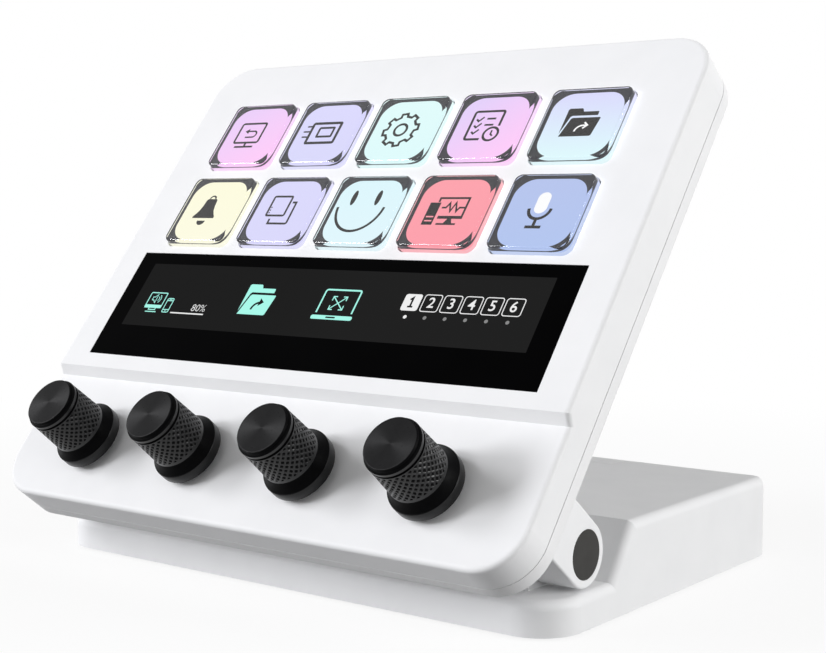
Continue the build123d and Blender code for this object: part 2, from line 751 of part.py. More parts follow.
def is_base_rim(edge):
    """True for the upper edges that run round the base's outside."""
    ends = [edge @ 0, edge @ 1]
    on_step = all(step_start - tiny < end.Y + base_depth / 2 < step_end + tiny for end in ends)
    across = on_step and abs(ends[0].X - ends[1].X) > tiny
    return min(end.Z for end in ends) > foot_proud + platform_height - tiny and not across


base_outer = base_outline(0)
base_inner = base_outline(base_wall)
plate_outline = base_outline(base_wall + fit_gap)
step_outer = above_step(0)
step_inner = above_step(base_wall)

with BuildPart() as base_hollow:
    with BuildSketch(BASE):
        add(base_inner)
    extrude(amount=base_height - base_wall)
    with BuildSketch(Plane.YZ):
        add(step_inner)
    extrude(amount=base_width, both=True, mode=Mode.SUBTRACT)

with BuildPart() as base_shell:
    with BuildSketch(BASE):
        add(base_outer)
    extrude(amount=base_height)
    with BuildSketch(Plane.YZ):
        add(step_outer)
    extrude(amount=base_width, both=True, mode=Mode.SUBTRACT)
    fillet(base_shell.edges().filter_by(is_base_rim), base_edge_round)
    add(base_hollow.part, mode=Mode.SUBTRACT)

    # bosses for the base plate's screws, and holes for the hinge blocks' screws
    with BuildSketch(BASE.offset(base_plate_thickness)):
        with Locations(front_bosses):
            Circle(base_boss_radius)
    extrude(amount=platform_height - base_wall - base_plate_thickness)
    with BuildSketch(BASE.offset(base_plate_thickness)):
        with Locations(rear_bosses):
            Circle(base_boss_radius)
    extrude(amount=base_height - base_wall - base_plate_thickness)
    with BuildSketch(BASE):
        with Locations(base_bosses):
            Circle(screw_radius + hole_slack)
    extrude(amount=plate_screw_seat + base_screw_length + hole_slack, mode=Mode.SUBTRACT)
    with BuildSketch(BASE):
        with Locations(block_screws):
            Circle(screw_radius + hole_slack)
    extrude(amount=platform_height, mode=Mode.SUBTRACT)

    # seat of the rear cover
    with BuildSketch(Plane.YZ):
        with BuildLine():
            Polyline(
                (cover_front - rear_cover_gap, base_top + overcut),
                (base_rear + overcut, base_top + overcut),
                (base_rear + overcut, cover_low - rear_cover_gap),
                (base_rear - rear_cover_thickness, cover_low - rear_cover_gap),
                (base_rear - rear_cover_thickness, base_top - rear_cover_thickness),
                (cover_front - rear_cover_gap, base_top - rear_cover_thickness),
                close=True,
            )
        make_face()
    extrude(amount=rear_cover_width / 2 + rear_cover_gap, both=True, mode=Mode.SUBTRACT)
base_shell.part.label = "base_shell"
export_step(base_shell.part, "parts/base_shell.step")

with BuildPart() as rear_cover:
    with BuildSketch(Plane.YZ) as cover_section:
        with BuildLine():
            Polyline(
                (cover_front, base_top),
                (base_rear, base_top),
                (base_rear, cover_low),
                (base_rear - rear_cover_thickness, cover_low),
                (base_rear - rear_cover_thickness, base_top - rear_cover_thickness),
                (cover_front, base_top - rear_cover_thickness),
                close=True,
            )
        make_face()
        fillet(cover_section.vertices().sort_by(Axis((0, 0, 0), (1, 1, 0)))[-1], base_edge_round)
    extrude(amount=rear_cover_width / 2, both=True)
rear_cover.part.label = "rear_cover"
export_step(rear_cover.part, "parts/rear_cover.step")

with BuildPart() as base_plate:
    with BuildSketch(BASE):
        add(plate_outline)
        with Locations(base_bosses):
            Circle(screw_radius + hole_slack, mode=Mode.SUBTRACT)
    extrude(amount=base_plate_thickness)
    with BuildSketch(BASE):
        with Locations(base_bosses):
            Circle(screw_head_radius + hole_slack)
    extrude(amount=plate_screw_seat, mode=Mode.SUBTRACT)
    with BuildSketch(BASE):
        with Locations(foot_centres):
            Circle(foot_radius + fit_gap)
    extrude(amount=foot_recess, mode=Mode.SUBTRACT)
base_plate.part.label = "base_plate"
export_step(base_plate.part, "parts/base_plate.step")

with BuildPart() as ballast_plate:
    with BuildSketch(BASE.offset(base_plate_thickness)):
        with Locations((0, (ballast_front + ballast_rear) / 2)):
            RectangleRounded(ballast_width, ballast_rear - ballast_front, ballast_corner)
    extrude(amount=ballast_thickness)
ballast_plate.part.label = "ballast_plate"
export_step(ballast_plate.part, "parts/ballast_plate.step")

with BuildPart() as rubber_feet:
    with BuildSketch(Plane.XY):
        with Locations(foot_centres):
            Circle(foot_radius)
    extrude(amount=foot_proud + foot_recess)
rubber_feet.part.label = "rubber_feet"
export_step(rubber_feet.part, "parts/rubber_feet.step")


# ------------------------------------------------------------------- screws
shell_screw_seat = HEAD.offset(-head_depth + screw_head_height + head_sink)
arm_screw_seat = Plane(
    origin=HEAD.from_local_coords((0, 0, back_inside)), x_dir=HEAD.x_dir, z_dir=-HEAD.z_dir
)
arm_screws_below = [(u, -v) for u, v in arm_screws]

with BuildPart() as head_screws:
    for seat, points, length in (
        (shell_screw_seat, shell_bosses, screw_length),
        (arm_screw_seat, arm_screws_below, arm_screw_length),
    ):
        with BuildSketch(seat):
            with Locations(points):
                Circle(screw_head_radius)
        extrude(amount=-screw_head_height)
        with BuildSketch(seat):
            with Locations(points):
                Circle(screw_radius)
        extrude(amount=length)
        with BuildSketch(seat.offset(-screw_head_height)):
            with Locations(points):
                RegularPolygon(screw_socket, 6)
        extrude(amount=screw_socket_depth, mode=Mode.SUBTRACT)
head_screws.part.label = "head_screws"
export_step(head_screws.part, "parts/head_screws.step")

with BuildPart() as base_screws:
    for seat, points in (
        (BASE.offset(plate_screw_seat), base_bosses),
        (BASE.offset(platform_height - base_wall), block_screws),
    ):
        with BuildSketch(seat):
            with Locations(points):
                Circle(screw_head_radius)
        extrude(amount=-screw_head_height)
        with BuildSketch(seat):
            with Locations(points):
                Circle(screw_radius)
        extrude(amount=base_screw_length)
        with BuildSketch(seat.offset(-screw_head_height)):
            with Locations(points):
                RegularPolygon(screw_socket, 6)
        extrude(amount=screw_socket_depth, mode=Mode.SUBTRACT)
base_screws.part.label = "base_screws"
export_step(base_screws.part, "parts/base_screws.step")
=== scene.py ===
"""Looks of the macro keypad with knobs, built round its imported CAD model.

Blender works in metres. Most pieces are drawn in millimetres in the head's own
axes (u along the panel, v up the panel, w outward) and placed by one matrix.
"""

import json
from math import cos, hypot, pi, radians, sin

import bmesh
import bpy
from mathutils import Matrix, Vector


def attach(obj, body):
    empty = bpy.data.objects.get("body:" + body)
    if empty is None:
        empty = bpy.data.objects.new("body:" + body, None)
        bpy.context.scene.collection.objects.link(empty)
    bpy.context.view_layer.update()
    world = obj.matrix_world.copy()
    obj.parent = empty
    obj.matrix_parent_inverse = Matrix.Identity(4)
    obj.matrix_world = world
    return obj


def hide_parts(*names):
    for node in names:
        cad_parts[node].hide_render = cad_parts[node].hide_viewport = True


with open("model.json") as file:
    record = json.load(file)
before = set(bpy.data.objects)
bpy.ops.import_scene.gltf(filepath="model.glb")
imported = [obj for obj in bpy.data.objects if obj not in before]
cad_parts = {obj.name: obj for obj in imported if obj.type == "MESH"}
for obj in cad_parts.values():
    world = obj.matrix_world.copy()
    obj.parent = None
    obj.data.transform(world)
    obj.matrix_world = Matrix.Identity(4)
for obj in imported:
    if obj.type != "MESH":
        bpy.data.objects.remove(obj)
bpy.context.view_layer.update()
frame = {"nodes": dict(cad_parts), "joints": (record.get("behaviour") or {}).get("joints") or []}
cad = frame["nodes"]
joints = {joint["name"]: joint for joint in frame["joints"]}

MM = 0.001
KEYS = range(1, 11)
KNOBS = range(1, 5)

# --------------------------------------------------------- the head's own axes
outward = -Vector(joints["key_1_press"]["axis"]).normalized()
across = Vector((1, 0, 0))
upward = outward.cross(across)
turn = Matrix((across, upward, outward)).transposed().to_4x4()


def extent(node, basis):
    """Lowest and highest corner of a node in the axes of a basis matrix, in millimetres."""
    points = [basis.inverted() @ vertex.co for vertex in cad[node].data.vertices]
    low = Vector([min(point[axis] for point in points) for axis in range(3)])
    high = Vector([max(point[axis] for point in points) for axis in range(3)])
    return low / MM, high / MM


lower_edge = extent("front_shell", turn)[0].y
knob_deck = extent("encoder_nuts", turn)[0].z
HEAD = Matrix.Translation(turn @ Vector((0, lower_edge * MM, knob_deck * MM))) @ turn


def in_head(node):
    return extent(node, HEAD)


def middle(box):
    return (box[0] + box[1]) / 2


# ------------------------------------------------------------------- materials
def material(name, **inputs):
    """New node material whose shader has these inputs; underscores stand for spaces."""
    made = bpy.data.materials.new(name)
    made.use_nodes = True
    shader = made.node_tree.nodes["Principled BSDF"]
    for label, value in inputs.items():
        shader.inputs[label.replace("_", " ")].default_value = value
    return made


def node(made, kind, **settings):
    new = made.node_tree.nodes.new(kind)
    for key, value in settings.items():
        if key in new.bl_rna.properties:
            setattr(new, key, value)
        else:
            new.inputs[key.replace("_", " ")].default_value = value
    return new


def link(made, source, target):
    made.node_tree.links.new(source, target)


def shader_of(made):
    return made.node_tree.nodes["Principled BSDF"]


def noise(made, size, detail=2.0, stretch=(1, 1, 1)):
    """Noise whose grain is about size millimetres, in the object's own space."""
    place = node(made, "ShaderNodeTexCoord")
    scaled = node(made, "ShaderNodeMapping", Scale=stretch)
    texture = node(made, "ShaderNodeTexNoise", Scale=1 / (size * MM), Detail=detail)
    link(made, place.outputs["Object"], scaled.inputs["Vector"])
    link(made, scaled.outputs["Vector"], texture.inputs["Vector"])
    return texture.outputs["Fac"]


def ramp(made, factor, low, high, start=0.3, end=0.7):
    """Maps a factor between start and end to a value or colour between low and high."""
    spread = node(made, "ShaderNodeMapRange", data_type="FLOAT")
    spread.inputs["From Min"].default_value = start
    spread.inputs["From Max"].default_value = end
    link(made, factor, spread.inputs["Value"])
    if not isinstance(low, tuple):
        spread.inputs["To Min"].default_value = low
        spread.inputs["To Max"].default_value = high
        return spread.outputs["Result"]
    mix = node(made, "ShaderNodeMix", data_type="RGBA")
    ends = [socket for socket in mix.inputs if socket.name in "AB" and socket.type == "RGBA"]
    for socket, colour in zip(ends, (low, high)):
        socket.default_value = (*colour, 1)
    link(made, spread.outputs["Result"], mix.inputs["Factor"])
    return [socket for socket in mix.outputs if socket.type == "RGBA"][0]


def bump(made, height, depth):
    """Relief of the given depth in millimetres."""
    relief = node(made, "ShaderNodeBump", Distance=depth * MM)
    link(made, height, relief.inputs["Height"])
    link(made, relief.outputs["Normal"], shader_of(made).inputs["Normal"])


def moulded(name, low, high, roughness, grain=0.35, relief=0.004, spread=0.04, **inputs):
    """Moulded plastic or rubber: a faint mottle, uneven gloss and a fine skin."""
    made = material(name, **inputs)
    link(made, ramp(made, noise(made, 9.0, 3.0), low, high), shader_of(made).inputs["Base Color"])
    gloss = ramp(made, noise(made, 2.5, 4.0), roughness - spread, roughness + spread)
    link(made, gloss, shader_of(made).inputs["Roughness"])
    bump(made, noise(made, grain, 3.0), relief)
    return made


def metal(name, low, high, roughness, stretch, relief=0.002, **inputs):
    """Metal with fine marks drawn out along one direction."""
    made = material(name, Metallic=1.0, **inputs)
    marks = noise(made, 0.25, 4.0, stretch)
    link(made, ramp(made, marks, low, high), shader_of(made).inputs["Base Color"])
    gloss = ramp(made, marks, roughness - 0.06, roughness + 0.08)
    link(made, gloss, shader_of(made).inputs["Roughness"])
    bump(made, marks, relief)
    return made


white_shell = moulded("white_shell", (0.875, 0.878, 0.885), (0.9, 0.902, 0.908), 0.5,
                      Specular_IOR_Level=0.15)
white_textured = moulded("white_textured", (0.86, 0.862, 0.866), (0.89, 0.89, 0.894), 0.55, 0.22, 0.012,
                         Specular_IOR_Level=0.15)
carrier_black = moulded("carrier_black", (0.014, 0.014, 0.016), (0.024, 0.024, 0.027), 0.5)
cap_dark = moulded("cap_dark", (0.034, 0.033, 0.031), (0.044, 0.043, 0.04), 0.5, 0.2, 0.008,
                   Specular_IOR_Level=0.12)
foot_rubber = moulded("foot_rubber", (0.03, 0.03, 0.03), (0.05, 0.05, 0.05), 0.75, 0.3, 0.02)
silicone = moulded("silicone", (0.5, 0.5, 0.51), (0.56, 0.56, 0.57), 0.6)
board_green = moulded("board_green", (0.012, 0.12, 0.06), (0.02, 0.17, 0.085), 0.4)
panel_grey = moulded("panel_grey", (0.015, 0.015, 0.018), (0.03, 0.03, 0.034), 0.3)
plated_steel = metal("plated_steel", (0.48, 0.48, 0.49), (0.6, 0.6, 0.61), 0.3, (1, 1, 0.1))
turned_brass = metal("turned_brass", (0.62, 0.47, 0.2), (0.76, 0.6, 0.3), 0.3, (0.1, 1, 1))


def cover_glass():
    """Polished black glass, printed on its back, so only a weak gloss lies over the black."""
    made = material("cover_glass", IOR=1.45, Specular_IOR_Level=0.01)
    shader = shader_of(made)
    tint = ramp(made, noise(made, 14.0), (0.0006, 0.0006, 0.0007), (0.001, 0.001, 0.0012))
    link(made, tint, shader.inputs["Base Color"])
    link(made, ramp(made, noise(made, 6.0, 5.0), 0.03, 0.07), shader.inputs["Roughness"])
    return made


def clear_block():
    """Polished clear plastic that lets the light of lamps through to what is under it."""
    made = material("clear_block", IOR=1.49, Transmission_Weight=1.0)
    shader = shader_of(made)
    link(made, ramp(made, noise(made, 5.0, 4.0), 0.0, 0.03), shader.inputs["Roughness"])
    shader.inputs["Base Color"].default_value = (0.985, 0.99, 1.0, 1)
    path = node(made, "ShaderNodeLightPath")
    through = node(made, "ShaderNodeBsdfTransparent", Color=(0.93, 0.94, 0.95, 1))
    either = node(made, "ShaderNodeMixShader")
    link(made, path.outputs["Is Shadow Ray"], either.inputs[0])
    link(made, shader.outputs[0], either.inputs[1])
    link(made, through.outputs[0], either.inputs[2])
    link(made, either.outputs[0], made.node_tree.nodes["Material Output"].inputs["Surface"])
    return made


def picture(name, first, second=None, direction=(0, 1)):
    """Lit picture: a fade from first to second along a direction, over the display's pixels."""
    made = material(name, Base_Color=(0.004, 0.004, 0.004, 1), Roughness=0.5, Emission_Strength=1.0,
                    Specular_IOR_Level=0.0)
    shader = shader_of(made)
    place = node(made, "ShaderNodeTexCoord")
    along = node(made, "ShaderNodeVectorMath", operation="DOT_PRODUCT")
    along.inputs[1].default_value = (direction[0], direction[1], 0)
    link(made, place.outputs["Object"], along.inputs[0])
    reach = fade_reach * MM
    fade = ramp(made, along.outputs["Value"], first, second or first, -reach, reach)
    grid = node(made, "ShaderNodeTexChecker", Scale=1 / (pixel_pitch * MM))
    grid.inputs["Color1"].default_value = (1, 1, 1, 1)
    grid.inputs["Color2"].default_value = (0.97, 0.97, 0.97, 1)
    link(made, place.outputs["Object"], grid.inputs["Vector"])
    tinted = node(made, "ShaderNodeVectorMath", operation="MULTIPLY")
    link(made, fade, tinted.inputs[0])
    link(made, grid.outputs["Color"], tinted.inputs[1])
    link(made, tinted.outputs["Vector"], shader.inputs["Emission Color"])
    return made


def srgb(red, green, blue):
    """Linear colour of a screen colour given in 0 to 255."""
    def linear(value):
        value /= 255
        return value / 12.92 if value <= 0.04045 else ((value + 0.055) / 1.055) ** 2.4
    return linear(red), linear(green), linear(blue)


pixel_pitch = 0.135
fade_reach = 8.0           # a picture's fade ends this far from its middle
glass_black = cover_glass()
clear_plastic = clear_block()
# Black film over each key's display: its narrow border by the picture is real, its wide bands and
# corner wedge are painted shade
mask_and_shade_black = moulded("mask_and_shade_black", (0.012, 0.012, 0.015), (0.02, 0.02, 0.024), 0.45,
                     Specular_IOR_Level=0.1)


# ---------------------------------------------------------- building in meshes
def add(name, mesh, finish, body, place, smooth=None, in_place=False):
    """Makes a piece of a mesh in millimetres, places it, and lets it ride on a body.

    With in_place the mesh is moved instead of the object, so that its box is a close one.
    """
    mesh.transform(Matrix.Scale(MM, 4))
    if in_place:
        mesh.transform(place)
        place = Matrix()
    if smooth is not None:
        mesh.shade_smooth()
        mesh.set_sharp_from_angle(angle=radians(smooth))
    mesh.materials.append(finish)
    piece = bpy.data.objects.new(name, mesh)
    bpy.context.scene.collection.objects.link(piece)
    piece.matrix_world = place
    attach(piece, body)
    return piece


class Sheet:
    """Flat shapes drawn in millimetres, each a thin closed plate of ink."""

    ink = 0.012                # thickness of a plate
    rise = 0.003               # step between plates that may cross
    steps = 4                  # after so many steps the plates start low again

    def __init__(self, ink=ink, rise=rise, count=0):
        self.mesh = bmesh.new()
        self.ink = ink
        self.rise = rise
        self.count = count

    def plate(self, outer, inner=None):
        """Closed plate with a given outline, and a hole that has as many points as it."""
        low = self.rise * (self.count % self.steps)
        self.count += 1
        levels = (low, low + self.ink)
        loops = [[self.mesh.verts.new((x, y, z)) for x, y in outer] for z in levels]
        size = len(outer)
        for n in range(size):
            m = (n + 1) % size
            self.mesh.faces.new((loops[0][n], loops[0][m], loops[1][m], loops[1][n]))
        if inner is None:
            self.mesh.faces.new(loops[1])
            self.mesh.faces.new(list(reversed(loops[0])))
            return
        holes = [[self.mesh.verts.new((x, y, z)) for x, y in inner] for z in levels]
        for n in range(size):
            m = (n + 1) % size
            self.mesh.faces.new((holes[0][m], holes[0][n], holes[1][n], holes[1][m]))
            self.mesh.faces.new((loops[1][n], loops[1][m], holes[1][m], holes[1][n]))
            self.mesh.faces.new((loops[0][m], loops[0][n], holes[0][n], holes[0][m]))

    def line(self, points, width, closed=False):
        """Stroke of a given width along a line of points."""
        if closed:
            self.plate(shift(points, width / 2), shift(points, -width / 2))
            return
        right = shift_open(points, width / 2)
        left = shift_open(points, -width / 2)
        self.plate(left + right[::-1])

    def done(self, name, finish, body, slot, place):
        mesh = bpy.data.meshes.new(name)
        bmesh.ops.recalc_face_normals(self.mesh, faces=self.mesh.faces)
        self.mesh.to_mesh(mesh)
        self.mesh.free()
        return add(name, mesh, finish, body, place)


def upper_sheet():
    """Sheet for what lies on the plates of another one."""
    return Sheet(rise=0.02, count=1)


HAIRPIN = -0.9             # cosine of a turn too tight for a mitred corner
LEAST_COSINE = 0.4         # keeps the mitre of a sharp corner short


def offset_at(before, here, after, distance):
    """Point at a distance from both lines of a corner, to the right of the way along."""
    first = Vector((here[1] - before[1], before[0] - here[0])).normalized()
    second = Vector((after[1] - here[1], here[0] - after[0])).normalized()
    if first.dot(second) < HAIRPIN:
        second = first
    bisector = (first + second).normalized()
    reach = distance / max(bisector.dot(first), LEAST_COSINE)
    return here[0] + bisector.x * reach, here[1] + bisector.y * reach


def shift(points, distance):
    """Closed outline moved outward (counter-clockwise outlines) by a distance."""
    size = len(points)
    return [offset_at(points[n - 1], points[n], points[(n + 1) % size], distance) for n in range(size)]


def shift_open(points, distance):
    """Open line moved to its right by a distance."""
    first = (2 * points[0][0] - points[1][0], 2 * points[0][1] - points[1][1])
    last = (2 * points[-1][0] - points[-2][0], 2 * points[-1][1] - points[-2][1])
    row = [first, *points, last]
    return [offset_at(row[n - 1], row[n], row[n + 1], distance) for n in range(1, len(row) - 1)]


def arc(x, y, radius, start, end, steps, height=None):
    """Points of an arc, or of part of an ellipse when a height is given; angles in degrees."""
    tall = radius if height is None else height
    turns = [radians(start + (end - start) * n / steps) for n in range(steps + 1)]
    return [(x + radius * cos(a), y + tall * sin(a)) for a in turns]


def circle(x, y, radius, steps=32, height=None):
    return arc(x, y, radius, 0, 360, steps, height)[:-1]


def rounded(x, y, width, height, radius, steps):
    """Counter-clockwise outline of a rounded rectangle centred on x, y."""
    a, b = width / 2 - radius, height / 2 - radius
    points = []
    for cx, cy, start in ((a, b, 0), (-a, b, 90), (-a, -b, 180), (a, -b, 270)):
        points += arc(x + cx, y + cy, radius, start, start + 90, steps)
    return points


def uneven(left, right, bottom, top, radii, steps):
    """Counter-clockwise outline between four sides; radii start at the upper right corner."""
    corners = ((right, top, -1, -1), (left, top, 1, -1), (left, bottom, 1, 1), (right, bottom, -1, 1))
    points = []
    for n, ((x, y, inward_x, inward_y), radius) in enumerate(zip(corners, radii)):
        points += arc(x + inward_x * radius, y + inward_y * radius, radius, 90 * n, 90 * n + 90, steps)
    return points


def moved(points, x, y, scale=1.0):
    return [(x + scale * px, y + scale * py) for px, py in points]


# --------------------------------------------------------------- the pictograms
# Each draws on a sheet, in millimetres from the middle of its picture.
def monitor_with_arrow(sheet):
    sheet.line(rounded(-1.1, 0.85, 7.55, 5.8, 0.5, 4), 0.58, closed=True)
    sheet.line([(-0.95, -2.3), (-0.95, -3.2)], 0.6)
    sheet.line([(-4.0, -3.32), (1.8, -3.32)], 0.55)
    sheet.line([(-2.2, 1.4), (0.0, 1.4), *arc(0.0, 0.5, 0.9, 90, -90, 8)[1:], (-2.2, -0.4)], 0.45)
    sheet.plate([(-3.0, 1.4), (-1.8, 0.65), (-1.8, 2.15)])


def moving_window(sheet):
    sheet.line(rounded(-0.4, 0.08, 8.1, 5.75, 0.25, 3), 0.74, closed=True)
    sheet.line(rounded(0.05, 0.3, 4.2, 2.55, 0.15, 3), 0.6, closed=True)
    for level, start in ((2.1, -6.1), (0.58, -6.6), (-0.96, -6.4)):
        sheet.line([(start, level), (-4.6, level)], 0.44)


def gear(sheet):
    teeth = 8
    first_tooth = 9
    x, y = -0.75, 0.18
    root, tip = 3.75, 4.6
    root_half, tip_half = 13, 9
    outline = []
    for n in range(teeth):
        tooth = 360 * n / teeth + first_tooth
        outline += [(root, tooth - root_half), (tip, tooth - tip_half)]
        outline += [(tip, tooth + tip_half), (root, tooth + root_half)]
    points = [(x + r * cos(radians(a)), y + r * sin(radians(a))) for r, a in outline]
    sheet.line(points, 0.62, closed=True)
    sheet.line(circle(x, y, 1.6), 0.62, closed=True)


def checklist(sheet):
    corners = arc(2.1, 3.95, 0.5, 0, 90, 4)
    corners += arc(-4.25, 3.95, 0.5, 90, 180, 4)
    corners += arc(-4.25, -2.65, 0.5, 180, 270, 4)
    sheet.line([(2.6, 0.35), *corners, (-0.95, -3.15)], 0.6)
    for level in (2.35, 0.65, -1.05):
        sheet.line([(-3.75, level), (-3.1, level - 0.6), (-2.05, level + 0.55)], 0.44)
    for level in (2.4, 0.7):
        sheet.line([(-1.15, level), (1.05, level)], 0.5)
    sheet.line(circle(1.4, -1.8, 1.75), 0.56, closed=True)
    sheet.line([(1.4, -0.8), (1.4, -1.85), (2.0, -2.35)], 0.4)


def folder_body(sheet, x=0.0, y=0.0, scale=1.0):
    back = [(-4.15, -2.4), (-4.15, 3.9), (-3.85, 4.2), (-1.05, 4.2), (-0.75, 4.0), (-0.45, 3.3),
            (3.0, 3.3), (3.15, 3.15), (3.15, 2.25), (-2.7, 2.25), (-3.05, 1.95)]
    front = [(-4.0, -3.15), (-2.75, 1.4), (-2.4, 1.7), (3.9, 1.7), (4.05, 1.5), (3.4, -2.95),
             (3.1, -3.15)]
    sheet.plate(moved(back[::-1], x, y, scale))
    sheet.plate(moved(front[::-1], x, y, scale))


def folder_arrow(sheet, x, y, scale):
    sheet.line(moved(arc(0.9, -1.95, 1.8, 180, 95, 10), x, y, scale), 0.5 * scale)
    sheet.plate(moved([(1.75, -0.1), (0.55, 0.85), (0.45, -1.05)], x, y, scale))


def small_arrow(sheet):
    sheet.line([*arc(0.75, -1.9, 1.55, 180, 90, 10), (1.6, -0.35)], 0.4)
    sheet.line([(0.85, 0.45), (1.7, -0.35), (0.85, -1.15)], 0.4)


def bell(sheet):
    x = -1.3
    side = [(1.3, 3.3), (1.65, 2.9), (1.85, 1.3), (2.2, 0.0), (2.8, -1.0), (3.35, -1.7),
            (3.35, -2.2)]
    outline = [(x + px, py) for px, py in side] + [(x - px, py) for px, py in reversed(side)]
    sheet.plate(outline[::-1])
    sheet.plate([(x + px, py - 2.95) for px, py in arc(0, 0, 1.25, 180, 360, 10)])
    sheet.line([(x + px, py + 3.3) for px, py in arc(0, 0, 0.85, 0, 180, 10)], 0.42)


def stacked_windows(sheet):
    sheet.line(rounded(-1.9, 1.35, 5.25, 5.3, 0.35, 3), 0.54, closed=True)
    back = [(1.45, 2.35), (2.55, 2.35), *arc(2.25, -3.1, 0.4, 0, -90, 4), (-2.85, -3.5), (-2.85, -2.2)]
    sheet.line(back, 0.54)
    for level in (-0.55, 0.2, 0.95):
        sheet.plate(circle(-3.95, level, 0.2, 12))


def smile(sheet):
    for side in (-1, 1):
        sheet.plate(circle(-0.7 + 3.3 * side, 3.6, 0.66, 28, 2.0))
    sheet.line(arc(-0.93, 1.6, 6.25, 184, 356, 36, 6.85), 0.66)


def workstation(sheet):
    left, right, bottom, top = -5.35, -2.7, -3.35, 2.35
    slots = ((-1.45, -1.1), (-2.5, -2.15))
    side = 0.4
    levels = [bottom, slots[1][0], slots[1][1], slots[0][0], slots[0][1], top]
    for low, high in zip(levels[::2], levels[1::2]):
        sheet.plate([(left, low), (right, low), (right, high), (left, high)])
    for low, high in slots:
        sheet.plate([(left, low), (left + side, low), (left + side, high), (left, high)])
        sheet.plate([(right - side, low), (right, low), (right, high), (right - side, high)])
    sheet.line([(-3.3, 2.5), (-3.3, 3.5), (3.9, 3.5), (3.9, -1.5)], 0.5)
    sheet.plate([(-2.0, -1.8), (4.15, -1.8), (4.15, -1.05), (-2.0, -1.05)])
    sheet.plate([(0.0, -3.0), (2.1, -3.0), (1.6, -1.8), (0.6, -1.8)])
    sheet.plate([(-1.7, -3.35), (3.1, -3.35), (3.1, -2.9), (-1.7, -2.9)])
    wave = [(-2.0, 1.05), (-1.0, 1.05), (-0.4, 2.2), (0.4, 0.1), (1.1, 2.3), (1.9, 0.1),
            (2.4, 1.05), (4.0, 1.05)]
    sheet.line(wave, 0.44)


def microphone_stand(sheet):
    sheet.line(arc(-0.7, 0.9, 2.5, 180, 360, 16), 0.7)
    sheet.line([(-0.7, -1.6), (-0.7, -3.5)], 0.7)
    sheet.line([(-2.5, -3.6), (1.1, -3.6)], 0.7)


def microphone_head(sheet):
    sheet.plate(rounded(-0.7, 2.3, 2.9, 5.2, 1.45, 8))


# ------------------------------------------------------------------ lit keys
ICON_DARK = (0.012, 0.011, 0.011)
WHITE = (1.0, 1.0, 1.0)
picture_width = 16.5
picture_height = 16.5
picture_corner = 4.3
picture_depth = 1.5        # pictures below the caps' top faces
mask_margin = 0.12         # mask inside the cap's left and upper sides; the wide black bands this leaves along those sides are painted shade, for the cap's walls seen dark through the clear block
mask_right_line = 0.42     # mask's narrow lines along the picture's right and lower sides
mask_low_line = 0.5
mask_shade_corner = 3.4      # its outline where those two lines meet; the black wedge left between it and the picture's rounder corner is painted shade
mask_nib = 0.4             # corner radius of the mask where a wide side ends
glow_margin = 0.3         # picture and the glowing slab under it, inside the cap's sides
glow_floor = 0.08         # glowing slab above the cap's underside
film = 0.03                # thickness of a mask
film_step = 0.01           # picture's face under the mask's
glow_gap = 0.02           # between the glowing slab and the picture
corner_steps = 10
cap_corner = 1.8
cap_taper = 0.07           # draft of the caps' sides

icon_dark = picture("icon_dark", ICON_DARK)
icon_white = picture("icon_white", WHITE)


def pale(colour, share=0.25):
    """Colour faded towards white."""
    return tuple(value + (1 - value) * share for value in colour)


# colours at the start and the end of the fade, the way it goes, and the signs with their inks
key_pictures = {
    1: (srgb(255, 203, 250), srgb(238, 206, 252), (-0.6, 0.8), [(monitor_with_arrow, icon_dark)]),
    2: (srgb(218, 217, 253), srgb(220, 217, 255), (0, 1), [(moving_window, icon_dark)]),
    3: (srgb(223, 253, 253), srgb(225, 253, 252), (0, 1), [(gear, icon_dark)]),
    4: (srgb(255, 203, 250), srgb(230, 207, 252), (-0.7, 0.7), [(checklist, icon_dark)]),
    5: (srgb(223, 250, 254), srgb(219, 219, 254), (0, 1),
        [(folder_body, icon_dark), (small_arrow, icon_white)]),
    6: (srgb(255, 253, 226), srgb(255, 253, 222), (0, 1), [(bell, icon_dark)]),
    7: (srgb(218, 216, 253), srgb(219, 217, 254), (0, 1), [(stacked_windows, icon_dark)]),
    8: (srgb(225, 248, 254), srgb(221, 248, 254), (0, 1), [(smile, icon_dark)]),
    9: (srgb(255, 154, 167), srgb(255, 157, 168), (0, 1), [(workstation, icon_dark)]),
    10: (srgb(176, 196, 240), srgb(180, 195, 238), (0, 1),
         [(microphone_stand, icon_dark), (microphone_head, icon_white)]),
}

